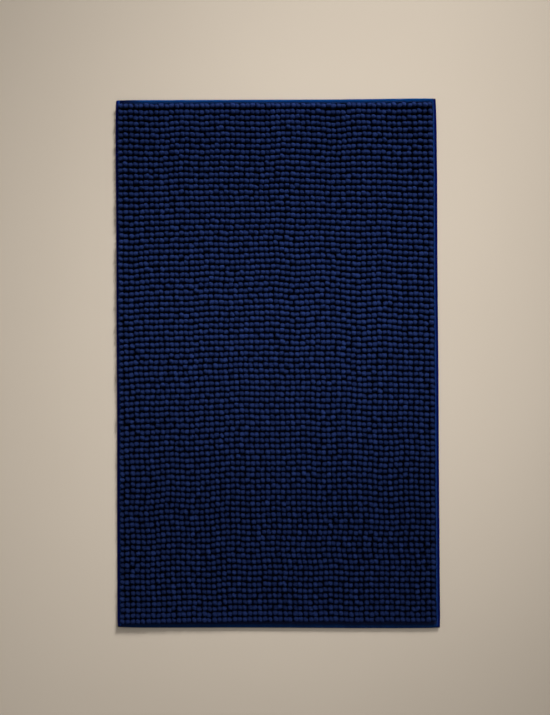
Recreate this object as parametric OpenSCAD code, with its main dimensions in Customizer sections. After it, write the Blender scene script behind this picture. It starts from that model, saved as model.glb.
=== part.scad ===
// Bobble bath mat: rows of looped chenille yarn on a woven base cloth, with a grip
// coating on the underside and a folded tape sewn round all four edges.
// Millimetres, +X across the mat, +Y along it, +Z up. The origin is the middle of the
// underside, on the surface that the mat lies on.

/* [Mat] */
// Width of the mat over its side bindings
mat_w = 604; // [240:1:1200]
// Length of the mat over its end bindings
mat_l = 992; // [520:1:1600]
// Thickness of the woven base cloth
cloth_t = 1.0; // [0.5:0.1:3]

/* [Chenille rows] */
// Height of the loops above the base cloth
loop_h = 12; // [6:0.5:30]
// Distance from the middle of one row of loops to the next
row_pitch = 10.81; // [6:0.01:11.5]
// Gap between one row of loops and the next
row_gap = 0.6; // [0.2:0.1:2]
// Radius of the rounded top edges of a row
crown_r = 4.6; // [1:0.1:6]
// Gap between the loops and the binding beside them
edge_gap = 0.2; // [0.1:0.1:2]

/* [Binding] */
// Thickness of the binding tape
tape_t = 0.8; // [0.6:0.1:2]
// Width of the tape's upper leg and of its lower leg, measured in from the edge
tape_leg = 7; // [5:0.5:20]

/* [Seams] */
// Width of a line of stitches
thread_w = 0.6; // [0.3:0.1:1]
// Thickness of a line of stitches
thread_t = 0.4; // [0.2:0.1:0.5]
// Distance from the middle of the stitches to the free edge of the tape's leg
seam_inset = 1.5; // [1:0.1:3]

/* [Care label] */
// Width of the label, along the end binding
label_w = 30; // [15:1:60]
// Length of the label, from the end binding inwards
label_l = 42; // [20:1:80]
// Thickness of the label
label_t = 0.3; // [0.1:0.1:0.5]
// Distance from the side binding to the near edge of the label
label_side = 45; // [10:1:90]

/* [Hidden] */
// The rows are shared out between a fixed number of strips, each a sub-part of its own
strip_count = 45;
function two_digits(n) = str(n < 10 ? "0" : "", n);
strip_names = [for (i = [1 : strip_count]) str("chenille_rows_", two_digits(i))];

// The tape wraps the edge of the cloth, so the cloth lies one tape thickness up
edge_h = cloth_t + 2 * tape_t;
cloth_top = tape_t + cloth_t;
field_w = mat_w - 2 * tape_leg;
field_l = mat_l - 2 * tape_leg;

// As many whole rows as fit, tufted from the end at +Y, with what is left over at -Y
row_count = floor((field_l - 2 * edge_gap + row_gap) / row_pitch);
row_w = row_pitch - row_gap;
last_row_y = field_l / 2 - edge_gap - row_w / 2;
row_l = field_w - 2 * edge_gap;
row_crown = min(crown_r, row_w / 2, loop_h);

// How far a cut runs past the face that it opens
overrun = 1;

chenille_navy = [0.07, 0.11, 0.25];
tape_navy = [0.04, 0.12, 0.30];
thread_navy = [0.03, 0.08, 0.22];
cloth_navy = [0.06, 0.08, 0.16];
coating_grey = [0.20, 0.22, 0.26];
label_white = [0.90, 0.90, 0.87];

// A box from its lowest corner to its highest
module box(low, high) {
    translate(low) cube(high - low);
}

// The end of a row: flat where it meets the cloth, with round shoulders on top
module row_section() {
    translate([-row_w / 2, 0]) square([row_w, loop_h - row_crown]);
    translate([row_crown - row_w / 2, 0]) square([row_w - 2 * row_crown, loop_h]);
    for (side = [-1, 1])
        translate([side * (row_w / 2 - row_crown), loop_h - row_crown])
            circle(r = row_crown, $fn = 48);
}

// One yarn, looped across the whole width; rows are counted from the end at -Y
module chenille_row(n) {
    y = last_row_y - (row_count - 1 - n) * row_pitch;
    translate([-row_l / 2, y, cloth_top])
        rotate([90, 0, 90]) linear_extrude(row_l) row_section();
}

// One strip: its share of the rows
module chenille_rows(strip) {
    first = floor(strip * row_count / strip_count);
    last = floor((strip + 1) * row_count / strip_count) - 1;
    color(chenille_navy)
        for (n = [first : 1 : last]) chenille_row(n);
}

// The cloth reaches right into the fold of the tape on every side
module base_cloth() {
    color(cloth_navy)
        box([tape_t - mat_w / 2, tape_t - mat_l / 2, tape_t],
            [mat_w / 2 - tape_t, mat_l / 2 - tape_t, cloth_top]);
}

// The coating fills the underside between the tapes, level with them
module grip_coating() {
    color(coating_grey) difference() {
        box([-field_w / 2, -field_l / 2, 0], [field_w / 2, field_l / 2, tape_t]);
        label_space();
    }
}

module label_space() {
    x = field_w / 2 - label_side;
    box([x - label_w, -field_l / 2, 0], [x, label_l - field_l / 2, label_t]);
}

// The label is caught in the end binding and lies in the soft coating
module care_label() {
    color(label_white) label_space();
}

// Tape folded over one side of the mat, with its own ends turned in
module side_tape(side) {
    color(tape_navy) mirror([side < 0 ? 1 : 0, 0, 0]) difference() {
        box([field_w / 2, -mat_l / 2, 0], [mat_w / 2, mat_l / 2, edge_h]);
        box([field_w / 2 - overrun, tape_t - mat_l / 2, tape_t],
            [mat_w / 2 - tape_t, mat_l / 2 - tape_t, cloth_top]);
        side_stitches(0);
    }
}

// Tape folded over one end of the mat, between the two side tapes
module end_tape(end) {
    color(tape_navy) mirror([0, end < 0 ? 1 : 0, 0]) difference() {
        box([-field_w / 2, field_l / 2, 0], [field_w / 2, mat_l / 2, edge_h]);
        box([-field_w / 2 - overrun, field_l / 2 - overrun, tape_t],
            [field_w / 2 + overrun, mat_l / 2 - tape_t, cloth_top]);
        end_stitches(0);
    }
}

// One straight line of stitches on the side at +X, with its underside at height z
module side_stitches(z) {
    x = field_w / 2 + seam_inset;
    box([x - thread_w / 2, tape_t - mat_l / 2, z],
        [x + thread_w / 2, mat_l / 2 - tape_t, z + thread_t]);
}

// The same line on the end at +Y
module end_stitches(z) {
    y = field_l / 2 + seam_inset;
    box([-field_w / 2, y - thread_w / 2, z],
        [field_w / 2, y + thread_w / 2, z + thread_t]);
}

// The upper thread lies on the tape, and the lower one is drawn into it
module side_seam(side) {
    color(thread_navy) mirror([side < 0 ? 1 : 0, 0, 0]) {
        side_stitches(edge_h);
        side_stitches(0);
    }
}

module end_seam(end) {
    color(thread_navy) mirror([0, end < 0 ? 1 : 0, 0]) {
        end_stitches(edge_h);
        end_stitches(0);
    }
}

for (i = [0 : strip_count - 1])
    chenille_rows(i);
base_cloth();
grip_coating();
side_tape(-1);  // binding_left
side_tape(1);  // binding_right
end_tape(1);  // binding_top
end_tape(-1);  // binding_bottom
side_seam(-1);  // seam_left
side_seam(1);  // seam_right
end_seam(1);  // seam_top
end_seam(-1);  // seam_bottom
care_label();
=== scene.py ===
# %% [markdown]
# # A bobble bath mat
# The mat is a woven base cloth with ninety chenille yarns tufted through it. Each yarn
# stands up in sixty-two loops across the width, so the top is a field of soft round
# bobbles. The back has a grip coating, and a navy tape is folded round the edges and sewn.
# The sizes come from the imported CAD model, which is loaded first and never changed.

# %% Load the frame
import math

import bpy
import numpy as np
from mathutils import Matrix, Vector


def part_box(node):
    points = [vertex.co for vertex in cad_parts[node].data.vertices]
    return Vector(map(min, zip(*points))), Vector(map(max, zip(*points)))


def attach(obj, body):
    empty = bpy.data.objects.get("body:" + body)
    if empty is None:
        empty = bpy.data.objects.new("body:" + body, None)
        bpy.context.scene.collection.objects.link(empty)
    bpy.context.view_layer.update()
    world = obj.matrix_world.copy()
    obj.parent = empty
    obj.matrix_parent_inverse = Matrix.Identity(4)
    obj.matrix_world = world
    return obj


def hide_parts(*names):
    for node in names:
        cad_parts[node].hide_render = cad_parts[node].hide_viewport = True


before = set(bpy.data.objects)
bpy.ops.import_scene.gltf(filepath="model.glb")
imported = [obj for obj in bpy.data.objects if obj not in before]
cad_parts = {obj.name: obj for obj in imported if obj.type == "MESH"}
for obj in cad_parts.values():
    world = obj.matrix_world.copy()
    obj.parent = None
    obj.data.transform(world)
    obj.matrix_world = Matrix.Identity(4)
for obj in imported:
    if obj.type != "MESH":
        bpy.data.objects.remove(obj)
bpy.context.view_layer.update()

# %% [markdown]
# Every size below is read from a CAD node, so the looks always fit the model. Only what the
# CAD leaves plain is new here: how many loops a yarn makes, and how far apart stitches are.

# %% Sizes
MM = 0.001
ROOT = "root"
LOOPS_PER_ROW = 62
STITCH_LENGTH = 3.2 * MM

cloth_low, cloth_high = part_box("base_cloth")
coat_low, coat_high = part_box("grip_coating")
side_low, side_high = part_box("binding_right")
_, end_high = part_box("binding_top")
seam_low, seam_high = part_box("seam_right")
label_low, label_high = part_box("care_label")
row_nodes = sorted(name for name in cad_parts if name.startswith("chenille_rows_"))
first_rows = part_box(row_nodes[0])
second_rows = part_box(row_nodes[1])

mat_half_w = side_high.x
mat_half_l = side_high.y
edge_height = side_high.z
tape_leg = side_high.x - side_low.x
tape_thick = cloth_low.z
cloth_top = cloth_high.z
seam_from_edge = mat_half_w - (seam_low.x + seam_high.x) / 2
loop_height = first_rows[1].z - cloth_top
row_pitch = (second_rows[0].y - first_rows[0].y) / 2
row_length = first_rows[1].x - first_rows[0].x
first_row_y = (first_rows[0].y + first_rows[1].y - row_pitch) / 2
far_row_start = side_high.y - tape_leg - row_pitch
loop_pitch = row_length / LOOPS_PER_ROW
print("row pitch", row_pitch, "loop pitch", loop_pitch, "strips", len(row_nodes))

# %% [markdown]
# A mat that has been rolled, washed and laid down is never quite straight. Gentle waves move
# the pieces sideways: long ones move the whole mat, and shorter ones run along the rows and
# along the columns and make them waver. A row's waves hardly change from one row to the next,
# so neighbours waver together. The seed is fixed, so the mat always lies the same.

# %% Waves
SEED = 62
# The shortest and the longest wave of each kind, in metres
LONG_WAVE_LENGTHS = (0.30, 0.80)
ROW_WAVE_LENGTHS = (0.055, 0.17)
LONG_WAVE_REACH = 0.32 * MM
ROW_WAVE_REACH = 0.95 * MM
COLUMN_WAVE_REACH = 0.85 * MM
ALONG_X = 0.0
ALONG_Y = math.pi / 2
WAVE_FAN = math.radians(15)
rng = np.random.default_rng(SEED)


def draw_waves(count, shortest, longest, reach, heading=0.0, fan=math.pi):
    """Waves of random length, all within fan of one heading, that move a point by about reach."""
    heading = heading + rng.uniform(-fan, fan, count)
    turns = 2 * math.pi / rng.uniform(shortest, longest, count)
    return {
        "kx": turns * np.cos(heading),
        "ky": turns * np.sin(heading),
        "start": rng.uniform(0, 2 * math.pi, (2, count)),
        "reach": reach * math.sqrt(2 / count),
    }


def waved(waves, x, y, axis):
    """How far the waves move points along X (axis 0) or along Y (axis 1)."""
    angle = np.multiply.outer(x, waves["kx"]) + np.multiply.outer(y, waves["ky"])
    return waves["reach"] * np.sin(angle + waves["start"][axis]).sum(-1)


long_waves = draw_waves(7, *LONG_WAVE_LENGTHS, LONG_WAVE_REACH)
row_waves = draw_waves(12, *ROW_WAVE_LENGTHS, ROW_WAVE_REACH, ALONG_X, WAVE_FAN)
column_waves = draw_waves(12, *ROW_WAVE_LENGTHS, COLUMN_WAVE_REACH, ALONG_Y, WAVE_FAN)
print("waves drawn", [len(waves["kx"]) for waves in (long_waves, row_waves, column_waves)])

# %% [markdown]
# The mat as a whole is a little out of true. Sewing has drawn the corners and the far end in,
# and the near end has curled up off the floor. One function lays the points of every piece,
# so that the cloth, the tapes and the loops move together and never part.

# %% How the mat lies
CORNER_PULL = 1.3 * MM
CORNER_REACH = 14 * MM
CURL = 3.8 * MM
CURL_BACK = 0.8 * MM
CURL_REACH = 80 * MM
# No mat is sewn quite square: how far its sides and ends slant, and how much they splay,
# the slant as a share of the distance and the splay as that share for each metre out
SIDE_SLANT = -0.0013
END_SLANT = -0.0029
SIDE_SPLAY = -0.0050
END_SPLAY = 0.0087
# How far the far end is drawn in at its middle
FAR_BOW = 1.2 * MM


def lay(points):
    """Moves points, an array of X, Y, Z rows, as the whole mat lies, corners drawn in."""
    x, y = points[:, 0].copy(), points[:, 1].copy()
    from_side = (mat_half_w - np.abs(x)) / CORNER_REACH
    from_end = (mat_half_l - np.abs(y)) / CORNER_REACH
    pull = CORNER_PULL * np.exp(-np.abs(from_side) - np.abs(from_end))
    points[:, 0] += waved(long_waves, x, y, 0) - np.sign(x) * pull
    points[:, 1] += waved(long_waves, x, y, 1) - np.sign(y) * pull
    points[:, 0] += SIDE_SLANT * y + SIDE_SPLAY * x * y
    points[:, 1] += END_SLANT * x + END_SPLAY * x * y
    points[:, 1] -= FAR_BOW * (1 - (x / mat_half_w) ** 2) * np.clip(y / mat_half_l, 0, 1) ** 2
    curled = np.clip(1 - (y + mat_half_l) / CURL_REACH, 0, 1) ** 2
    points[:, 1] += CURL_BACK * curled
    points[:, 2] += CURL * curled
    return points


print("a far corner is laid at", lay(np.array([[mat_half_w, mat_half_l, 0.0]]))[0])

# %% [markdown]
# The rows are straight on the loom, but on a used mat they hang towards the near end at both
# sides: on the right most of all a third of the way down, and on the left past the middle. The
# columns stand a little left of straight. Both are smooth formulas that change slowly, so
# neighbouring rows shift almost alike and never cross.

# %% How the rows hang
SAG = 10.5 * MM
SAG_CURVE = 1.45
# On the left the hang grows by LEFT_HANG and is taken back again by LEFT_RECOVERY
LEFT_HANG = 2.45
LEFT_RECOVERY = 0.8
# On the right it rises and fades to nothing, and this makes its highest value 1
RIGHT_HANG = 6.75
DRIFT_MIDDLE = 4.9 * MM
DRIFT_RIGHT = 2.4 * MM


def sag(x, y):
    """How far the row at a point hangs towards the near end, most of all beside the bindings."""
    down = np.clip((mat_half_l - y) / (2 * mat_half_l), 0, 1)
    left = LEFT_HANG * down * (1 - LEFT_RECOVERY * down ** 2)
    right = RIGHT_HANG * down * (1 - down) ** 2
    out = np.abs(x / mat_half_w) ** SAG_CURVE
    return SAG * out * np.where(x < 0, left, right)


def drift(x, y):
    """How far the loops at a point stand left of a straight column."""
    across = x / mat_half_w
    middle = np.cos(math.pi / 2 * np.clip(y / mat_half_l, -1, 1)) * (1 - across ** 2)
    return DRIFT_MIDDLE * middle + DRIFT_RIGHT * (1 + across) / 2


print("hang halfway down at the left", sag(-mat_half_w, 0.0), "and right", sag(mat_half_w, 0.0))

# %% [markdown]
# Small helpers do what a hand does between operators: clear the selection, apply a modifier,
# and read or write all the points of a mesh at once with numpy.

# %% Helpers for pieces
def start_fresh():
    """Nothing is selected, so the next operator acts only on what is added next."""
    bpy.ops.object.select_all(action="DESELECT")


def apply_modifier(piece, kind, **settings):
    """Adds a modifier, sets it and applies it."""
    modifier = piece.modifiers.new(kind.title(), kind)
    for name, value in settings.items():
        setattr(modifier, name, value)
    bpy.context.view_layer.objects.active = piece
    bpy.ops.object.modifier_apply(modifier=modifier.name)


def repeat(piece, count, step):
    """Copies the piece count times in a line, a step apart, into one mesh."""
    apply_modifier(
        piece,
        "ARRAY",
        count=count,
        use_relative_offset=False,
        use_constant_offset=True,
        constant_offset_displace=step,
    )


def points_of(piece):
    """All the points of a mesh, as an array with one X, Y, Z row each."""
    flat = np.empty(len(piece.data.vertices) * 3)
    piece.data.vertices.foreach_get("co", flat)
    return flat.reshape(-1, 3)


def place_points(piece, points):
    """Writes the points back into the mesh."""
    piece.data.vertices.foreach_set("co", np.ascontiguousarray(points).ravel())
    piece.data.update()


def face_outward(piece):
    """Turns every face of a closed shape to point out of it."""
    start_fresh()
    piece.select_set(True)
    bpy.context.view_layer.objects.active = piece
    bpy.ops.object.mode_set(mode="EDIT")
    bpy.ops.mesh.select_all(action="SELECT")
    bpy.ops.mesh.normals_make_consistent(inside=False)
    bpy.ops.object.mode_set(mode="OBJECT")


def soften(piece):
    """Shades the piece smooth."""
    start_fresh()
    piece.select_set(True)
    bpy.context.view_layer.objects.active = piece
    bpy.ops.object.shade_smooth()


def flat_sheet(name, width, length, columns, rows):
    """A flat sheet in X and Y about the origin, divided into columns and rows of faces."""
    start_fresh()
    bpy.ops.mesh.primitive_grid_add(x_subdivisions=columns, y_subdivisions=rows, size=1)
    sheet = bpy.context.object
    sheet.name = name
    bpy.ops.transform.resize(value=(width, length, 1))
    bpy.ops.object.transform_apply(location=False, rotation=False, scale=True)
    return sheet


def finish_piece(piece, material, slot, *nodes):
    """Gives a piece its material, lets it ride on the mat and stand for its CAD nodes."""
    piece.data.materials.clear()
    piece.data.materials.append(material)
    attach(piece, ROOT)
    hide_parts(*nodes)


# %% [markdown]
# A material is a small network of nodes. Written out node by node it is long and hard to
# read, so a Wire wraps one output and lets plain arithmetic add the Math nodes, and a
# Recipe adds any other node in one call: its type, its settings, then its sockets.

# %% A short way to write materials
class Wire:
    """One output of a shader node, which + - * / and ** turn into Math nodes."""

    def __init__(self, recipe, socket):
        self.recipe = recipe
        self.socket = socket

    def math(self, operation, first, second=0.0):
        settings = {"operation": operation}
        return self.recipe.node("ShaderNodeMath", settings, {0: first, 1: second})

    def __add__(self, other):
        return self.math("ADD", self, other)

    def __radd__(self, other):
        return self.math("ADD", other, self)

    def __sub__(self, other):
        return self.math("SUBTRACT", self, other)

    def __rsub__(self, other):
        return self.math("SUBTRACT", other, self)

    def __mul__(self, other):
        return self.math("MULTIPLY", self, other)

    def __rmul__(self, other):
        return self.math("MULTIPLY", other, self)

    def __truediv__(self, other):
        return self.math("DIVIDE", self, other)

    def __pow__(self, other):
        return self.math("POWER", self, other)

    def sine(self):
        return self.math("SINE", self)

    def absolute(self):
        return self.math("ABSOLUTE", self)

    def held(self, low, high):
        return self.math("MINIMUM", self.math("MAXIMUM", self, low), high)


class Recipe:
    """A new material and the nodes that it is made of."""

    def __init__(self, name):
        self.material = bpy.data.materials.new(name)
        self.material.use_nodes = True
        self.tree = self.material.node_tree
        self.shader = self.tree.nodes["Principled BSDF"]

    def node(self, kind, settings=None, sockets=None, output=0):
        """Adds a node, sets it, fills its sockets with values or wires, and gives one output."""
        made = self.tree.nodes.new(kind)
        for name, value in (settings or {}).items():
            setattr(made, name, value)
        for name, value in (sockets or {}).items():
            self.fill(made.inputs[name], value)
        return Wire(self, made.outputs[output])

    def fill(self, socket, value):
        if isinstance(value, Wire):
            self.tree.links.new(value.socket, socket)
        else:
            socket.default_value = value

    def surface(self, **sockets):
        """Fills sockets of the shader, named with underscores for spaces."""
        for name, value in sockets.items():
            self.fill(self.shader.inputs[name.replace("_", " ")], value)
        return self.material

    def place(self):
        """The point's place in the mat, in metres, as three wires."""
        where = self.node("ShaderNodeTexCoord", output="Object")
        parts = self.node("ShaderNodeSeparateXYZ", sockets={0: where})
        node = parts.socket.node
        return where, [Wire(self, output) for output in node.outputs]

    def along_sheet(self):
        """The point's place on the flat sheet, from 0 to 1 across and along it."""
        where = self.node("ShaderNodeUVMap", {"uv_map": "UVMap"})
        parts = self.node("ShaderNodeSeparateXYZ", sockets={0: where})
        node = parts.socket.node
        return [Wire(self, output) for output in node.outputs[:2]]

    def noise(self, where, scale, detail=2.0, roughness=0.5):
        """Soft random cloudiness, from 0 to 1, with about scale clouds to a metre."""
        sockets = {"Vector": where, "Scale": scale, "Detail": detail, "Roughness": roughness}
        return self.node("ShaderNodeTexNoise", sockets=sockets)

    def mix(self, share, first, second):
        """A colour between two colours."""
        return self.node(
            "ShaderNodeMix",
            {"data_type": "RGBA"},
            {0: share, 6: first, 7: second},
            output=2,
        )

    def tinted(self, colour, tint):
        """A colour multiplied by another, channel by channel."""
        return self.node(
            "ShaderNodeMix",
            {"data_type": "RGBA", "blend_type": "MULTIPLY"},
            {0: 1.0, 6: colour, 7: tint},
            output=2,
        )

    def bump(self, height, depth, strength=1.0):
        """Makes the surface seem to rise by depth metres where height is 1."""
        sockets = {"Height": height, "Distance": depth, "Strength": strength}
        return self.node("ShaderNodeBump", sockets=sockets, output="Normal")


# %% [markdown]
# Chenille is a yarn with short fibres standing out all round its core, like a pipe cleaner.
# It is matt, but its fibre tips catch a little light at grazing angles, which the sheen
# does. Each loop is painted dark towards its root, as the shade between the loops, each
# loop takes the dye a little differently, and fine clouds of noise break up the surface as
# tufts of fibre do. As painted light, the colour grows a shade paler from the far end to the
# near one. The first row has a painted highlight, as the key light reaches it unshaded by
# other loops, and the last few rows at the near end have painted shade, against the light
# that the curl of the mat tips them into.

# %% Chenille
# The near-black colour of the painted shade between the loops
CHENILLE_ROOT_SHADE = (0.0006, 0.0004, 0.0009, 1.0)
CHENILLE_DEEP = (0.0071, 0.0142, 0.0560, 1.0)
CHENILLE_BRIGHT = (0.0196, 0.0390, 0.1510, 1.0)
SHEEN_BLUE = (0.06, 0.14, 0.60, 1.0)
# How far each cause moves the colour from the deep tone, 0, to the bright one, 1
TUFT_TONE = 1.5
LOOP_TONE = 0.2
PATCH_TONE = 0.1
# The first row's painted highlight
FIRST_ROW_LIGHT_TONE = 0.4
# Painted shade on the last rows at the near end
NEAR_SHADE_TONE = 0.35
# Painted light: how much paler the colour is painted for each metre towards the near end
PAINTED_LIGHT_EACH_METRE = 0.3
# Below this share of a loop's height the yarn is all in painted shade
ROOT_SHADE_HEIGHT = 0.52
CROWN_CURVE = 1.5
# How far from the near end the painted shade on the last rows reaches, and how dark it makes them
NEAR_SHADE_REACH = 75 * MM
NEAR_SHADE_DARK = 0.45
TUFTS_PER_METRE = 430.0
PATCHES_PER_METRE = 14.0
FIBRES_PER_METRE = 2400.0
TUFT_SHARE = 0.7
FIBRE_STRETCH = (1.0, 1.0, 0.3)
TUFT_DEPTH = 1.5 * MM
TUFT_STRENGTH = 0.9


def chenille():
    """Navy chenille: painted shade towards the root, tufted, each loop its own tone."""
    recipe = Recipe("navy_chenille")
    where, (_, y, z) = recipe.place()
    rise = ((z - cloth_top) / loop_height).held(0.0, 1.0)
    tone = recipe.node("ShaderNodeAttribute", {"attribute_name": "loop_tone"}, output="Fac")
    tuft = recipe.noise(where, TUFTS_PER_METRE, detail=4.0, roughness=0.65)
    patch = recipe.noise(where, PATCHES_PER_METRE)
    # Painted shade on the last rows at the near end, which the curl tips towards the key light
    worn = (1.0 - (y + mat_half_l) / NEAR_SHADE_REACH).held(0.0, 1.0)
    # Painted highlight on the first row at the far end, which the key light reaches unshaded
    first_row_light = ((y - far_row_start) / MM).held(0.0, 1.0)
    uneven = (tuft - 0.5) * TUFT_TONE + (tone - 0.5) * LOOP_TONE + (patch - 0.5) * PATCH_TONE
    # Painted light and shade: the first row's highlight, the near rows' shade, and a gradient
    # paler towards the near end
    light = uneven + first_row_light * FIRST_ROW_LIGHT_TONE - worn * NEAR_SHADE_TONE - y * PAINTED_LIGHT_EACH_METRE + 0.5
    crown = recipe.mix(light.held(0.0, 1.0), CHENILLE_DEEP, CHENILLE_BRIGHT)
    # Painted shade: each loop darkens towards its root, where the shade between the loops falls
    bright = ((rise - ROOT_SHADE_HEIGHT) / (1.0 - ROOT_SHADE_HEIGHT)).held(0.0, 1.0) ** CROWN_CURVE
    colour = recipe.mix(bright * (1.0 - worn * NEAR_SHADE_DARK), CHENILLE_ROOT_SHADE, crown)
    upright = recipe.node(
        "ShaderNodeVectorMath", {"operation": "MULTIPLY"}, {0: where, 1: FIBRE_STRETCH}
    )
    fibre = recipe.noise(upright, FIBRES_PER_METRE, detail=3.0)
    height = tuft * TUFT_SHARE + fibre * (1.0 - TUFT_SHARE)
    return recipe.surface(
        Base_Color=colour,
        Roughness=0.86 + 0.1 * fibre,
        Specular_IOR_Level=0.0,
        Sheen_Weight=0.02,
        Sheen_Roughness=0.5,
        Sheen_Tint=SHEEN_BLUE,
        Normal=recipe.bump(height, TUFT_DEPTH, TUFT_STRENGTH),
    )


chenille_material = chenille()
print("material", chenille_material.name)

# %% [markdown]
# The tape is a narrow ribbed ribbon, so its pattern follows the flat ribbon's own UV map and
# bends round the edge with it. The ribbon starts at the free edge of its upper leg. The tapes
# were cut from different dye lots, and the two on the sides are a shade more violet. Each tape
# is also painted lighter or darker as a whole, as light and shade on its side of the mat. The
# side tapes are painted paler inside their seam and deeper on the fold outside it, and the far
# tape brighter on its fold, which faces the key light: painted light and shade. The far tape,
# and faintly the near one, have painted shade in the seam's groove, the far one also towards
# its left corner, where the side tape laps over it, and every tape is painted dark for a few
# millimetres from its start.

# %% Binding tape's cloth
TAPE_RIB = 0.9 * MM
TAPE_YARN = 0.7 * MM
# How many clouds of colour, and how many tufts of fuzz, in a metre
TAPE_CLOUDS = 60.0
TAPE_FUZZ = 2200.0
# Each dye's deep and bright tones
SIDE_DYE = ((0.0006, 0.0064, 0.0540), (0.0016, 0.0175, 0.1300))
END_DYE = ((0.0007, 0.0120, 0.0600), (0.0022, 0.0350, 0.1500))
# The colour of the painted shade in the seam's groove and at each tape's start
TAPE_PAINTED_SHADE = (0.0010, 0.0040, 0.0400, 1.0)
# Tints for the inner and the outer part of the upper leg, which paint light and shade on them
LEFT_INNER = (3.0, 2.4, 1.5, 1.0)
RIGHT_INNER = (3.4, 2.8, 1.95, 1.0)
SIDE_OUTER = (0.05, 0.18, 0.78, 1.0)
END_OUTER = (0.5, 1.15, 1.25, 1.0)
UNTINTED = (1.0, 1.0, 1.0, 1.0)
SEAM_SHADE = 1.8 * MM
OUTER_START = 2.1 * MM
# How far from its start each tape has painted shade
CORNER_START = 4 * MM
seam_from_leg = tape_leg - seam_from_edge


def ribs(position, pitch_count):
    """Round ribs across a position that runs from 0 to 1, pitch_count of them."""
    return (position * (2 * math.pi * pitch_count)).sine() * 0.5 + 0.5


def ribbon(name, length, width, dye, depth, dark_start, inner, outer, seam):
    """Navy ribbed tape.

    dye is two tones, and depth multiplies both, to paint the tape lighter or darker as light
    and shade. The tape has painted shade within dark_start of its start, is tinted inner and
    outer on the two sides of the seam with painted light and shade, and has painted shade
    there by seam.
    """
    recipe = Recipe(name)
    where, _ = recipe.place()
    across, along = recipe.along_sheet()
    rib = ribs(along, round(length / TAPE_RIB))
    yarn = ribs(across, round(width / TAPE_YARN))
    cloud = recipe.noise(where, TAPE_CLOUDS, detail=3.0)
    fuzz = recipe.noise(where, TAPE_FUZZ)
    light = rib * 0.45 + yarn * 0.15 + cloud * 0.4
    # depth paints the tape lighter or darker as light and shade on its side of the mat
    deep, bright = [(*(depth * part for part in tone), 1.0) for tone in dye]
    past_seam = across * width - seam_from_leg
    outside = (past_seam / OUTER_START).held(0.0, 1.0)
    in_seam = 1.0 - (past_seam / SEAM_SHADE).absolute().held(0.0, 1.0)
    # The tints paint light and shade on the two sides of the seam
    tint = recipe.mix(outside, inner, outer)
    dyed = recipe.tinted(recipe.mix(light, deep, bright), tint)
    # Painted shade in the groove that the stitches draw down
    seamed = recipe.mix(in_seam * seam, dyed, TAPE_PAINTED_SHADE)
    # Painted shade towards the tape's start; on the far tape it reaches into the corner that the
    # side tape laps over
    started = (along * (length / dark_start)).held(0.0, 1.0) ** 2.0
    return recipe.surface(
        Base_Color=recipe.mix(started, TAPE_PAINTED_SHADE, seamed),
        Roughness=0.55 + 0.2 * fuzz,
        Specular_IOR_Level=0.03,
        Sheen_Weight=0.05,
        Sheen_Roughness=0.4,
        Sheen_Tint=SHEEN_BLUE,
        Normal=recipe.bump(rib * 0.8 + yarn * 0.1 + fuzz * 0.1, 0.40 * MM),
    )


# Each tape's dye with its painted light and shade: depth makes it lighter or darker as a whole,
# inner and outer tint its upper leg, and seam and dark_start set painted shade in the seam and at
# its start
TAPE_DYE_AND_PAINTED_LIGHT = {
    "left": {
        "dye": SIDE_DYE,
        "depth": 1.80,
        "dark_start": CORNER_START,
        "inner": LEFT_INNER,
        "outer": SIDE_OUTER,
        "seam": 0.0,
    },
    "right": {
        "dye": SIDE_DYE,
        "depth": 0.95,
        "dark_start": CORNER_START,
        "inner": RIGHT_INNER,
        "outer": SIDE_OUTER,
        "seam": 0.0,
    },
    "top": {
        "dye": END_DYE,
        "depth": 1.60,
        "dark_start": 42 * MM,
        "inner": UNTINTED,
        "outer": END_OUTER,
        "seam": 0.8,
    },
    "bottom": {
        "dye": END_DYE,
        "depth": 0.70,
        "dark_start": CORNER_START,
        "inner": UNTINTED,
        "outer": UNTINTED,
        "seam": 0.3,
    },
}
print("seam from the free edge of the tape", seam_from_leg)

# %% [markdown]
# The base cloth is a plain weave, two sets of ribs crossing. Where loops stand on it, it is
# painted dark as the shade between the loops, and only the strip beyond the nearest row, bare
# of loops, keeps its own colour.

# %% Base cloth's weave
BASE_YARN = 1.6 * MM
BASE_CLOUDS = 90.0
BASE_PAINTED_SHADE = (0.0004, 0.0005, 0.0020, 1.0)
BASE_DEEP = (0.0030, 0.0044, 0.0150, 1.0)
BASE_BRIGHT = (0.0120, 0.0185, 0.0620, 1.0)
# How much of the cloth's own colour shows through the painted shade between the loops
CLOTH_UNSHADED = 0.25


def base_weave():
    """Dark plain weave, with painted shade where it isn't bare of loops."""
    recipe = Recipe("woven_base_cloth")
    where, (x, y, _) = recipe.place()
    warp = (x * (2 * math.pi / BASE_YARN)).sine()
    weft = (y * (2 * math.pi / BASE_YARN)).sine()
    weave = warp * weft * 0.5 + 0.5
    cloud = recipe.noise(where, BASE_CLOUDS, detail=3.0)
    bare = ((first_rows[0].y - y) / MM).held(0.0, 1.0)
    cloth = recipe.mix(weave * 0.6 + cloud * 0.4, BASE_DEEP, BASE_BRIGHT)
    # Painted shade between the loops covers the cloth everywhere but the bare strip
    unshaded = bare * (1.0 - CLOTH_UNSHADED) + CLOTH_UNSHADED
    return recipe.surface(
        Base_Color=recipe.mix(unshaded, BASE_PAINTED_SHADE, cloth),
        Roughness=0.85 + 0.1 * cloud,
        Specular_IOR_Level=0.02,
        Normal=recipe.bump(weave, 0.3 * MM),
    )


base_material = base_weave()
print("material", base_material.name)

# %% [markdown]
# The thread is twisted from two plies, which show as slanted bands. The grip coating is
# latex: matt, a little cloudy, and pimpled. The label is white satin, left blank.

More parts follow.
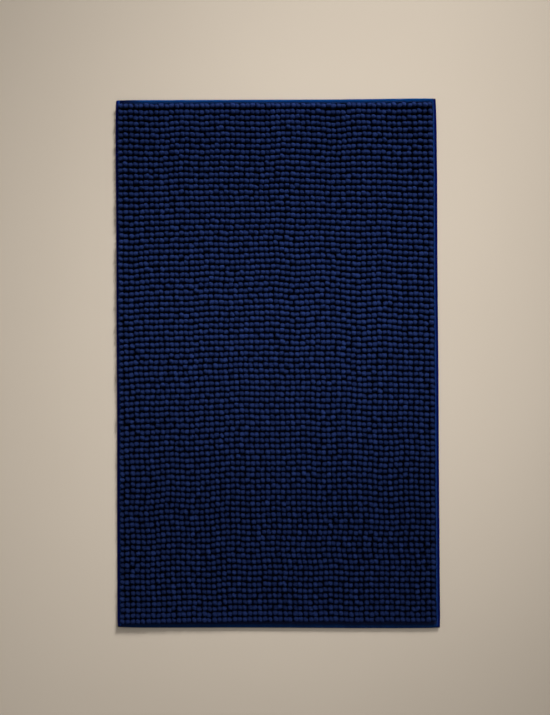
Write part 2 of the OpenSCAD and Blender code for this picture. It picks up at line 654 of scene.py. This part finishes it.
# %% Thread, coating and label
THREAD_TWIST = 0.9 * MM
THREAD_DEEP = (0.0008, 0.0034, 0.0180, 1.0)
THREAD_BRIGHT = (0.0030, 0.0130, 0.0560, 1.0)
COAT_RIDGE = 0.3 * MM
LATEX_CLOUDS = 25.0
LATEX_PIMPLES = 700.0
LATEX_DEEP = (0.020, 0.024, 0.036, 1.0)
LATEX_BRIGHT = (0.050, 0.056, 0.074, 1.0)
SATIN_FLOAT = 0.5 * MM
SATIN_CLOUDS = 120.0
SATIN_DEEP = (0.62, 0.61, 0.57, 1.0)
SATIN_BRIGHT = (0.82, 0.81, 0.77, 1.0)


def sewing_thread():
    """Navy polyester thread with a slanting twist."""
    recipe = Recipe("navy_sewing_thread")
    _, (x, y, z) = recipe.place()
    twist = ((x + y + z) * (2 * math.pi / THREAD_TWIST)).sine() * 0.5 + 0.5
    return recipe.surface(
        Base_Color=recipe.mix(twist, THREAD_DEEP, THREAD_BRIGHT),
        Roughness=0.45 + 0.2 * twist,
        Normal=recipe.bump(twist, 0.08 * MM),
    )


def latex():
    """Blue-grey latex with soft clouds and fine pimples, worn paler on the ridges."""
    recipe = Recipe("grip_latex")
    where, (x, _, z) = recipe.place()
    cloud = recipe.noise(where, LATEX_CLOUDS, detail=4.0, roughness=0.6)
    pimple = recipe.noise(where, LATEX_PIMPLES)
    stitch = ((x * (2 * math.pi / loop_pitch)).sine() * 0.5 + 0.5) ** 3.0
    ridge = (1.0 - z / COAT_RIDGE).held(0.0, 1.0)
    light = cloud * 0.5 + ridge * 0.3 + pimple * 0.2
    return recipe.surface(
        Base_Color=recipe.mix(light.held(0.0, 1.0), LATEX_DEEP, LATEX_BRIGHT),
        Roughness=0.5 + 0.3 * cloud,
        Specular_IOR_Level=0.4,
        Normal=recipe.bump(stitch * 0.7 + pimple * 0.3, 0.35 * MM),
    )


def satin():
    """White satin: long floats that shine along the label."""
    recipe = Recipe("blank_label_satin")
    where, (x, _, _) = recipe.place()
    floats = (x * (2 * math.pi / SATIN_FLOAT)).sine() * 0.5 + 0.5
    cloud = recipe.noise(where, SATIN_CLOUDS, detail=3.0)
    return recipe.surface(
        Base_Color=recipe.mix(floats * 0.4 + cloud * 0.6, SATIN_DEEP, SATIN_BRIGHT),
        Roughness=0.35 + 0.2 * cloud,
        Normal=recipe.bump(floats, 0.05 * MM),
    )


thread_material = sewing_thread()
latex_material = latex()
satin_material = satin()
print("materials", [made.name for made in (thread_material, latex_material, satin_material)])

# %% [markdown]
# One bobble is modelled and used for all of them. It starts as a disc on the cloth.
# Extruding the disc upward again and again, and resizing each new ring, gives a shape that
# swells from its root and closes in a round crown, as a soft loop of yarn does. Its shoulders
# are then filled out, because its neighbours press on its sides. Twelve sides and five bands
# are enough, because there are thousands of bobbles and they are shaded smooth.

# %% One bobble
LOOP_SIDES = 12
LOOP_HALF_WIDTH = 0.56 * loop_pitch
LOOP_HALF_DEPTH = 0.43 * row_pitch
# 2 leaves an oval, and more makes it squarer
SHOULDERS = 2.8
# Each ring of the bobble: its height as a share of the loop's, and its width along the row
# and its depth across the row as shares of the belly's
LOOP_RINGS = [
    (0.00, 0.80, 0.62),
    (0.28, 0.97, 0.90),
    (0.58, 1.00, 1.00),
    (0.81, 0.93, 0.82),
    (0.95, 0.72, 0.50),
    (1.00, 0.34, 0.20),
]


def model_bobble():
    """A single loop on the cloth at the origin, swelling to its belly and closing on top."""
    start_fresh()
    bpy.ops.mesh.primitive_circle_add(
        vertices=LOOP_SIDES, radius=1, fill_type="NGON", location=(0, 0, 0)
    )
    bobble = bpy.context.object
    bobble.name = "bobble"
    bpy.ops.object.mode_set(mode="EDIT")
    bpy.ops.mesh.select_all(action="SELECT")
    root, *rings = LOOP_RINGS
    height, wide, deep = root
    bpy.ops.transform.resize(value=(wide, deep, 1))
    for next_height, next_wide, next_deep in rings:
        rise = (next_height - height) * loop_height
        bpy.ops.mesh.extrude_region_move(TRANSFORM_OT_translate={"value": (0, 0, rise)})
        bpy.ops.transform.resize(value=(next_wide / wide, next_deep / deep, 1))
        height, wide, deep = next_height, next_wide, next_deep
    bpy.ops.mesh.select_all(action="SELECT")
    bpy.ops.transform.resize(
        value=(LOOP_HALF_WIDTH, LOOP_HALF_DEPTH, 1), center_override=(0, 0, 0)
    )
    bpy.ops.mesh.normals_make_consistent(inside=False)
    bpy.ops.object.mode_set(mode="OBJECT")
    bpy.ops.object.shade_smooth()
    return bobble


def fill_shoulders(piece):
    """Makes the plan of the loop a rounded oblong instead of an oval."""
    points = points_of(piece)
    angle = np.arctan2(points[:, 1] / LOOP_HALF_DEPTH, points[:, 0] / LOOP_HALF_WIDTH)
    width, depth = np.abs(np.cos(angle)), np.abs(np.sin(angle))
    points[:, :2] *= ((width ** SHOULDERS + depth ** SHOULDERS) ** (-1 / SHOULDERS))[:, None]
    place_points(piece, points)


bobble = model_bobble()
fill_shoulders(bobble)
loop_points = len(bobble.data.vertices)
print("bobble faces", len(bobble.data.polygons), "points", loop_points)

# %% [markdown]
# Two Array modifiers lay out one strip: a whole yarn across the width, and then a second
# yarn beside it. Every strip of the mat is a copy of this one with its own mesh.

# %% One strip of two yarns
repeat(bobble, LOOPS_PER_ROW, (loop_pitch, 0, 0))
repeat(bobble, 2, (0, row_pitch, 0))
strip_points = points_of(bobble)
strip_points[:, 0] -= (LOOPS_PER_ROW - 1) / 2 * loop_pitch
strip_points[:, 1] -= row_pitch / 2
strip_points[:, 2] += cloth_top
loops_in_strip = len(strip_points) // loop_points
print("loops in a strip", loops_in_strip)

# %% [markdown]
# No two loops are alike. Each one is turned, leant, shrunk or grown and nudged by a small
# random amount, and what one gains its neighbours lose, because the yarn is all one length.
# Feet have flattened the loops of the near half, and the loops beside the bindings lean out.

# %% How loops differ
TURN = math.radians(12)
LEAN = 0.04
SIZE_SPREAD = 0.035
HEIGHT_SPREAD = 0.035
NUDGE = 0.26 * MM
# No loop differs by more than this many times the usual
FURTHEST = 2.2
NAP_TURN = math.radians(-9)
# Where feet have trodden, towards the near end, the loops are lower and broader
TREAD_START = 0.10
TREAD_RUN = 0.36
TREAD_FLATTEN = 0.14
TREAD_BROADEN = 0.12
TREAD_NARROW = 0.06
# The last loops at the ends of a yarn, and the first row of all, lean out over the binding
LEFT_LEAN = 0.28
RIGHT_LEAN = 0.17
END_LEAN_REACH = 2.5 * loop_pitch
FAR_LEAN = 0.14
LUMPS = 0.28 * MM
LUMP_LENGTHS = (0.005, 0.013)
lump_waves = draw_waves(12, *LUMP_LENGTHS, LUMPS)


def spread(size):
    """A random value about 0 for each loop. What one gains, the loops on both sides lose."""
    own = np.clip(rng.normal(0, size, loops_in_strip), -FURTHEST * size, FURTHEST * size)
    return (own - (np.roll(own, 1) + np.roll(own, -1)) / 3)[:, None]


def shape_loops(local, middle):
    """Turns, sizes and leans the loops of a strip, given about their own roots."""
    turn = NAP_TURN + spread(TURN)
    size = 1 + spread(SIZE_SPREAD)
    tall = 1 + spread(HEIGHT_SPREAD)
    from_row_end = row_length / 2 - np.abs(middle[:, :, 0])
    outward = np.where(middle[:, :, 0] < 0, -LEFT_LEAN, RIGHT_LEAN)
    outward = outward * np.exp(-from_row_end / END_LEAN_REACH)
    far_row = middle[:, :, 1] > far_row_start
    lean_x = spread(LEAN) + outward
    lean_y = spread(LEAN) + FAR_LEAN * far_row
    trodden = np.clip((TREAD_START - middle[:, :, 1]) / TREAD_RUN, 0, 1)
    narrow = 1 - TREAD_NARROW * trodden
    broad = 1 + TREAD_BROADEN * trodden
    tall = tall * (1 - TREAD_FLATTEN * trodden)
    along = np.cos(turn) * local[:, :, 0] - np.sin(turn) * local[:, :, 1]
    across = np.sin(turn) * local[:, :, 0] + np.cos(turn) * local[:, :, 1]
    z = tall * local[:, :, 2]
    return narrow * size * along + lean_x * z, broad * size * across + lean_y * z, z


print("trodden loops are", 1 - TREAD_FLATTEN, "as high as fresh ones")

# %% [markdown]
# The rows' and the columns' waves carry each loop along with the loops round it, but they fade
# near the binding, which holds the rows straight. Fine waves then make its surface lumpy.

# %% Lay out the loops
# The far binding is sewn tight against the first rows and pushes them in
PRESS = 2.2 * MM
PRESS_REACH = 40 * MM
EDGE_FADE = 30 * MM
LEAST_WAVE = 0.15


def place_roots(middle):
    """Where the loops' roots stand, given where they would stand on a perfectly straight mat."""
    x = middle[:, :, 0] + spread(NUDGE)
    y = middle[:, :, 1] + spread(NUDGE)
    from_side = (mat_half_w - tape_leg - np.abs(x)) / EDGE_FADE
    from_end = (mat_half_l - tape_leg - np.abs(y)) / EDGE_FADE
    fade = np.clip(np.minimum(from_side, from_end), LEAST_WAVE, 1.0)
    y = y - PRESS * np.exp((y - mat_half_l + tape_leg) / PRESS_REACH)
    y = y - sag(x, y)
    x = x - drift(x, y)
    return x + fade * waved(column_waves, x, y, 0), y + fade * waved(row_waves, x, y, 1)


def lay_loops(rest_y):
    """The points of one strip, with its middle at rest_y, every loop a little different."""
    loops = strip_points.reshape(loops_in_strip, loop_points, 3).copy()
    loops[:, :, 1] += rest_y
    middle = loops.mean(axis=1, keepdims=True)
    middle[:, :, 2] = cloth_top
    x, y, z = shape_loops(loops - middle, middle)
    root_x, root_y = place_roots(middle)
    x, y = root_x + x, root_y + y
    high = np.clip(z / loop_height, 0, 1)
    lump_x = waved(lump_waves, x + z, y, 0)
    lump_y = waved(lump_waves, x, y - z, 1)
    points = np.stack([x + high * lump_x, y + high * lump_y, cloth_top + z], axis=2)
    return lay(points.reshape(-1, 3))


def tone_loops(piece):
    """Stores one random tone for each loop, which its material reads."""
    tone = np.repeat(rng.uniform(0, 1, loops_in_strip), loop_points)
    layer = piece.data.attributes.new("loop_tone", "FLOAT", "POINT")
    layer.data.foreach_set("value", tone)


for number, node in enumerate(row_nodes, 1):
    strip_low, strip_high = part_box(node)
    strip = bobble.copy()
    strip.data = bobble.data.copy()
    strip.name = f"chenille_loops_{number:02d}"
    bpy.context.scene.collection.objects.link(strip)
    place_points(strip, lay_loops((strip_low.y + strip_high.y) / 2))
    tone_loops(strip)
    finish_piece(strip, chenille_material, "chenille", node)
bpy.data.objects.remove(bobble)
print("strips laid", len(row_nodes), "with", loops_in_strip * len(row_nodes), "loops")

# %% [markdown]
# The base cloth is one sheet that runs into the fold of the tape on every side. It is a
# grid, given its thickness by Solidify, and its upper face is drawn down a little under each
# row, where the yarn goes through it.

# %% Base cloth
CLOTH_DRAWN = 0.12 * MM
CLOTH_COLUMNS = 64
CLOTH_ROWS = 180
cloth_w = cloth_high.x - cloth_low.x
cloth_l = cloth_high.y - cloth_low.y
cloth_thick = cloth_high.z - cloth_low.z

woven_base = flat_sheet("woven_base", cloth_w, cloth_l, CLOTH_COLUMNS, CLOTH_ROWS)
apply_modifier(woven_base, "SOLIDIFY", thickness=cloth_thick, offset=0.0)
cloth_points = points_of(woven_base)
cloth_points[:, 2] += (cloth_low.z + cloth_high.z) / 2
between_tapes = np.abs(cloth_points[:, 0]) < mat_half_w - tape_leg
sagged_y = cloth_points[:, 1] + sag(cloth_points[:, 0], cloth_points[:, 1])
row_wave = np.cos(2 * math.pi * (sagged_y - first_row_y) / row_pitch)
top_side = cloth_points[:, 2] > cloth_low.z + cloth_thick / 2
cloth_points[:, 2] -= between_tapes * top_side * CLOTH_DRAWN * (0.5 + 0.5 * row_wave)
place_points(woven_base, lay(cloth_points))
soften(woven_base)
finish_piece(woven_base, base_material, "base_cloth", "base_cloth")
print("base cloth faces", len(woven_base.data.polygons))

# %% [markdown]
# The coating is brushed on wet, so it follows the yarns that cross under the cloth: a low
# ridge for every row, with a shallow valley between. It is pressed up where the label lies.

# %% Grip coating
coat_w = coat_high.x - coat_low.x
coat_l = coat_high.y - coat_low.y
coat_thick = coat_high.z - coat_low.z
COAT_COLUMNS = 62
COAT_ROWS = 360
COAT_WANDER = 0.05 * MM
VALLEY_CURVE = 0.7
label_middle_x = (label_low.x + label_high.x) / 2

coating = flat_sheet("latex_coating", coat_w, coat_l, COAT_COLUMNS, COAT_ROWS)
apply_modifier(coating, "SOLIDIFY", thickness=coat_thick, offset=0.0)
coat_points = points_of(coating)
coat_points[:, 2] += coat_thick / 2
under = coat_points[:, 2] < coat_thick / 2
sagged_y = coat_points[:, 1] + sag(coat_points[:, 0], coat_points[:, 1])
row_phase = np.cos(2 * math.pi * (sagged_y - first_row_y) / row_pitch) * 0.5 + 0.5
valley = COAT_RIDGE * (1 - row_phase) ** VALLEY_CURVE
coat_points[:, 2] += under * (valley + rng.uniform(0, COAT_WANDER, len(coat_points)))
by_label = (
    under
    & (np.abs(coat_points[:, 0] - label_middle_x) < label_high.x - label_middle_x)
    & (coat_points[:, 1] < label_high.y)
)
coat_points[by_label, 2] = label_high.z + COAT_WANDER
place_points(coating, lay(coat_points))
soften(coating)
finish_piece(coating, latex_material, "grip_coating", "grip_coating")
print("coating faces", len(coating.data.polygons))

# %% [markdown]
# A binding is a flat tape folded in half along the edge of the mat. It is made the way a
# sewer makes it: a flat ribbon first, then the fold, which bends it along a half circle
# without stretching it. Solidify gives the ribbon its thickness. The line of stitches draws
# the tape down in small puckers, and the long tapes have their ends pinched and turned in.

# %% Binding tapes
TAPE_COLUMNS = 24
STEPS_PER_STITCH = 2
PUCKER = 0.42 * MM
PUCKER_WIDTH = 0.75 * MM
# The pucker is deepest at each stitch: its steady share, and the share that comes and goes
PUCKER_STEADY = 0.6
PUCKER_BEAT = 0.4
PUFF = 0.30 * MM
ROLL_OFF = 0.75 * MM
ROLL_REACH = 3.6 * MM
WANDER = 0.25 * MM
WANDER_LENGTHS = (0.012, 0.05)
PINCH = 1.6 * MM
PINCH_SHUT = 0.92
LAP_RISE = 0.35 * MM
LAP_LENGTH = 9 * MM
fold_radius = (edge_height - tape_thick) / 2
leg_run = tape_leg - tape_thick / 2 - fold_radius
ribbon_width = 2 * leg_run + math.pi * fold_radius
edge_middle = edge_height / 2
wander_waves = draw_waves(9, *WANDER_LENGTHS, WANDER)


def folded(across):
    """Where a point of the flat ribbon goes: its distance in from the edge, and its height."""
    run = across + ribbon_width / 2
    angle = np.clip((run - leg_run) / fold_radius, 0, math.pi)
    past = np.maximum(run - leg_run - math.pi * fold_radius, 0)
    before = np.maximum(leg_run - run, 0)
    inward = tape_thick / 2 + fold_radius * (1 - np.sin(angle)) + before + past
    return inward, edge_middle + fold_radius * np.cos(angle)


def pucker(inward, along, height):
    """How far the stitches and the stuffing move the tape up or down."""
    upper = np.sign(height - edge_middle)
    to_seam = (inward - seam_from_edge) / PUCKER_WIDTH
    beat = PUCKER_STEADY + PUCKER_BEAT * np.cos(2 * math.pi * along / STITCH_LENGTH)
    drawn = -PUCKER * beat * np.exp(-to_seam ** 2)
    rise = PUFF * np.sin(math.pi * np.clip(inward / seam_from_edge, 0, 1)) ** 2
    roll = ROLL_OFF * np.clip(1 - inward / ROLL_REACH, 0, 1) ** 2
    return np.where(upper > 0, drawn + rise - roll, -drawn)


def along_edge(edge, inward, along, height):
    """Points given by their distance in from an edge and along it, as X, Y and Z."""
    if edge == "left":
        return np.stack([inward - mat_half_w, along, height], axis=1)
    if edge == "right":
        return np.stack([mat_half_w - inward, along, height], axis=1)
    if edge == "top":
        return np.stack([along, mat_half_l - inward, height], axis=1)
    return np.stack([along, inward - mat_half_l, height], axis=1)


def bind_edge(edge, half_length, laps_over):
    """One tape, folded over an edge of the mat."""
    length = 2 * half_length
    rows = STEPS_PER_STITCH * round(length / STITCH_LENGTH)
    tape = flat_sheet(f"tape_{edge}", ribbon_width, length, TAPE_COLUMNS, rows)
    flat = points_of(tape)
    inward, height = folded(flat[:, 0])
    place_points(tape, np.stack([-inward, flat[:, 1], height], axis=1))
    apply_modifier(tape, "SOLIDIFY", thickness=tape_thick, offset=0.0)
    points = points_of(tape)
    inward, along, height = -points[:, 0], points[:, 1], points[:, 2]
    height = height + pucker(inward, along, height)
    edge_share = np.clip((inward - seam_from_edge) / (tape_leg - seam_from_edge), 0, 1)
    inward = inward + edge_share * waved(wander_waves, along, inward, 0)
    if laps_over:
        from_end = (half_length - np.abs(along)) / LAP_LENGTH
        lifted = np.clip(1 - from_end, 0, 1) * (height > edge_middle)
        height = height + LAP_RISE * lifted
        into_pinch = np.clip(1 - (half_length - np.abs(along)) / PINCH, 0, 1)
        open_share = np.sqrt(1 - PINCH_SHUT * into_pinch ** 2)
        height = edge_middle + (height - edge_middle) * open_share
    place_points(tape, lay(along_edge(edge, inward, along, height)))
    face_outward(tape)
    soften(tape)
    material = ribbon(f"ribbed_tape_{edge}", length, ribbon_width, **TAPE_DYE_AND_PAINTED_LIGHT[edge])
    finish_piece(tape, material, "binding_tape", f"binding_{edge}")
    stitch_edge(edge, half_length)
    print("tape", edge, "flat width", ribbon_width, "faces", len(tape.data.polygons))


# %% [markdown]
# A stitch is a short length of thread that dips into the cloth at both ends. One is modelled
# from a six-sided rod: its ends are extruded, drawn in and pushed down. An Array modifier
# runs it along the seam, and a second run underneath is the bobbin thread.

# %% Stitches
THREAD_RADIUS = 0.21 * MM
STITCH_SHOW = 0.62 * STITCH_LENGTH
STITCH_DIP = 0.3 * MM
STITCH_TAIL = 0.35 * MM
STITCH_TAPER = 0.55
STITCH_SINK = 0.02 * MM
ROD_SIDES = 6
# How far the line of stitches wavers, and how fast, in radians for each metre
SEAM_WAVER = 0.06 * MM
SEAM_WAVER_TURN = 40


def model_stitch():
    """One stitch along Y at the origin, with both its ends drawn in and turned down."""
    start_fresh()
    bpy.ops.mesh.primitive_cylinder_add(
        vertices=ROD_SIDES,
        radius=THREAD_RADIUS,
        depth=STITCH_SHOW,
        rotation=(math.radians(90), 0, 0),
    )
    stitch = bpy.context.object
    bpy.ops.object.transform_apply(location=False, rotation=True, scale=False)
    for end in (-1, 1):
        bpy.ops.object.mode_set(mode="EDIT")
        bpy.ops.mesh.select_mode(type="FACE")
        bpy.ops.mesh.select_all(action="DESELECT")
        bpy.ops.object.mode_set(mode="OBJECT")
        for face in stitch.data.polygons:
            face.select = face.normal.y * end > 0.9
        bpy.ops.object.mode_set(mode="EDIT")
        step = (0, end * STITCH_TAIL, -STITCH_DIP)
        bpy.ops.mesh.extrude_region_move(TRANSFORM_OT_translate={"value": step})
        bpy.ops.transform.resize(value=(STITCH_TAPER, STITCH_TAPER, STITCH_TAPER))
        bpy.ops.object.mode_set(mode="OBJECT")
    return stitch


def stitch_edge(edge, half_length):
    """The upper and the lower line of stitches along one edge, as one piece."""
    count = round(2 * half_length / STITCH_LENGTH) - 1
    stitches = model_stitch()
    stitches.name = f"stitches_{edge}"
    repeat(stitches, count, (0, STITCH_LENGTH, 0))
    upper = points_of(stitches)
    upper[:, 1] -= (count - 1) / 2 * STITCH_LENGTH
    repeat(stitches, 2, (0, 0, 0))
    points = points_of(stitches)
    half = len(upper)
    lower = upper.copy()
    lower[:, 2] *= -1
    upper[:, 2] += edge_height - STITCH_SINK
    lower[:, 2] += THREAD_RADIUS + STITCH_SINK
    points[:half] = upper
    points[half:] = lower
    waver = SEAM_WAVER * np.sin(points[:, 1] * SEAM_WAVER_TURN)
    inward = seam_from_edge - points[:, 0] + waver
    place_points(stitches, lay(along_edge(edge, inward, points[:, 1], points[:, 2])))
    face_outward(stitches)
    soften(stitches)
    finish_piece(stitches, thread_material, "seam_thread", f"seam_{edge}")
    return stitches


bind_edge("left", side_high.y, True)
bind_edge("right", side_high.y, True)
bind_edge("top", end_high.x, False)
bind_edge("bottom", end_high.x, False)

# %% [markdown]
# The care label is a strip of satin folded back on itself, with its fold outward and both
# cut ends caught in the seam. It is left blank. The strip starts flat and is folded in code.

# %% Care label
LABEL_CLOTH = 0.11 * MM
LABEL_COLUMNS = 12
LABEL_ROWS = 60
label_w = label_high.x - label_low.x
label_l = label_high.y - label_low.y
label_bend = (label_high.z - label_low.z - LABEL_CLOTH) / 2
label_run = label_l - LABEL_CLOTH / 2 - label_bend
strip_length = 2 * label_run + math.pi * label_bend


def fold_label(along):
    """Where a point of the flat strip goes: its distance out of the seam, and its height."""
    run = along + strip_length / 2
    angle = np.clip((run - label_run) / label_bend, 0, math.pi)
    out = np.minimum(run, label_run) - np.maximum(run - label_run - math.pi * label_bend, 0)
    return out + label_bend * np.sin(angle), -label_bend * np.cos(angle)


label = flat_sheet("blank_label", label_w, strip_length, LABEL_COLUMNS, LABEL_ROWS)
flat_label = points_of(label)
out, height = fold_label(flat_label[:, 1])
place_points(label, np.stack([flat_label[:, 0], out, height], axis=1))
apply_modifier(label, "SOLIDIFY", thickness=LABEL_CLOTH, offset=0.0)
label_points = points_of(label)
label_points[:, 0] += label_middle_x
label_points[:, 1] += label_low.y
label_points[:, 2] += (label_low.z + label_high.z) / 2
place_points(label, lay(label_points))
face_outward(label)
soften(label)
finish_piece(label, satin_material, "label_satin", "care_label")
print("label faces", len(label.data.polygons))

# %% [markdown]
# The mat lies on a plain pale floor. The floor is stage, not part of the object.

# %% Floor
FLOOR_SIZE = 7.2
FLOOR_DROP = 0.1 * MM
FLOOR_CLOUDS = 3.0
FLOOR_PALE = (0.600, 0.527, 0.440, 1.0)
FLOOR_SHADE = (0.575, 0.502, 0.416, 1.0)


def plain_floor():
    """Matt paper in a warm stone colour, with the faintest clouds."""
    recipe = Recipe("plain_floor")
    where, _ = recipe.place()
    cloud = recipe.noise(where, FLOOR_CLOUDS, detail=3.0)
    return recipe.surface(
        Base_Color=recipe.mix(cloud, FLOOR_SHADE, FLOOR_PALE),
        Roughness=0.95,
        Specular_IOR_Level=0.1,
    )


start_fresh()
bpy.ops.mesh.primitive_plane_add(size=FLOOR_SIZE, location=(0, 0, -FLOOR_DROP))
floor = bpy.context.object
floor.name = "floor"
bpy.ops.object.transform_apply(location=True, rotation=False, scale=False)
floor.data.materials.append(plain_floor())
print("floor side", FLOOR_SIZE)

# %% [markdown]
# The key light is a soft box beyond the far end of the mat, a little to the right and fairly
# low, so the near side of every loop is in shade and the rows stand out. A weaker light
# overhead lifts the middle of the floor, and an even glow keeps the shade from going black.
# Eight wide boxes in a ring light the floor further out, and none of them reaches the mat.

# %% Light
WARM = (1.0, 0.985, 0.965)
GLOW = (1.0, 0.97, 0.93, 1.0)
GLOW_STRENGTH = 0.21
KEY_DISTANCE = 3.2
KEY_ELEVATION = 33
KEY_BEARING = 25
KEY_AIM = (-0.22, -0.16, 0)
KEY_SIZE = 0.62
KEY_POWER = 9.6
KEY_SPREAD = 48
OVERHEAD_PLACE = (0.19, -0.16, 0.78)
OVERHEAD_AIM = (0.19, -0.16, 0)
OVERHEAD_SIZE = 0.6
OVERHEAD_POWER = 1.95
OVERHEAD_SPREAD = 180
WASH_STEP = 2.4
WASH_HEIGHT = 1.0
WASH_POWER = 8.0
WASH_SPREAD = 64


def soft_box(name, place, aim, size, power, spread):
    """A square soft light that looks from its place at its aim, within spread degrees."""
    data = bpy.data.lights.new(name, "AREA")
    data.shape = "SQUARE"
    data.size = size
    data.energy = power
    data.spread = math.radians(spread)
    data.color = WARM
    lamp = bpy.data.objects.new(name, data)
    bpy.context.scene.collection.objects.link(lamp)
    lamp.location = place
    toward = Vector(aim) - Vector(place)
    lamp.rotation_euler = toward.to_track_quat("-Z", "Y").to_euler()
    lamp.visible_camera = False
    return lamp


def around(distance, elevation, bearing):
    """A place at a distance from the mat's middle; bearing is from +Y towards +X."""
    up, turn = math.radians(elevation), math.radians(bearing)
    out = distance * math.cos(up)
    return (out * math.sin(turn), out * math.cos(turn), distance * math.sin(up))


key_place = around(KEY_DISTANCE, KEY_ELEVATION, KEY_BEARING)
soft_box("key", key_place, KEY_AIM, KEY_SIZE, KEY_POWER, KEY_SPREAD)
soft_box(
    "overhead", OVERHEAD_PLACE, OVERHEAD_AIM, OVERHEAD_SIZE, OVERHEAD_POWER, OVERHEAD_SPREAD
)
for column, row in ((-1, -1), (-1, 0), (-1, 1), (0, -1), (0, 1), (1, -1), (1, 0), (1, 1)):
    x, y = column * WASH_STEP, row * WASH_STEP
    name = f"wash_{column}_{row}"
    soft_box(name, (x, y, WASH_HEIGHT), (x, y, 0), WASH_STEP, WASH_POWER, WASH_SPREAD)
world = bpy.data.worlds.new("even_glow")
bpy.context.scene.world = world
world.use_nodes = True
background = world.node_tree.nodes["Background"]
background.inputs["Color"].default_value = GLOW
background.inputs["Strength"].default_value = GLOW_STRENGTH
bpy.context.scene.view_settings.view_transform = "Standard"
print("key light at", key_place)

# %% [markdown]
# The camera looks straight down. It stands two metres up, close enough that the far rows
# show their shaded near sides and the near rows their lit far sides.

# %% Camera
CAMERA_HEIGHT = 2.0
FRAME_LENGTH = 1.3435
CAMERA_OFF_CENTRE = (-4.7 * MM, 11 * MM)
CAMERA_ROLL = math.radians(-0.23)
SENSOR = 36.0

camera_data = bpy.data.cameras.new("camera")
camera_data.sensor_width = SENSOR
camera_data.lens = SENSOR * CAMERA_HEIGHT / FRAME_LENGTH
camera = bpy.data.objects.new("camera", camera_data)
bpy.context.scene.collection.objects.link(camera)
camera.location = (*CAMERA_OFF_CENTRE, CAMERA_HEIGHT)
camera.rotation_euler = (0, 0, CAMERA_ROLL)
bpy.context.scene.camera = camera
print("lens", camera_data.lens)
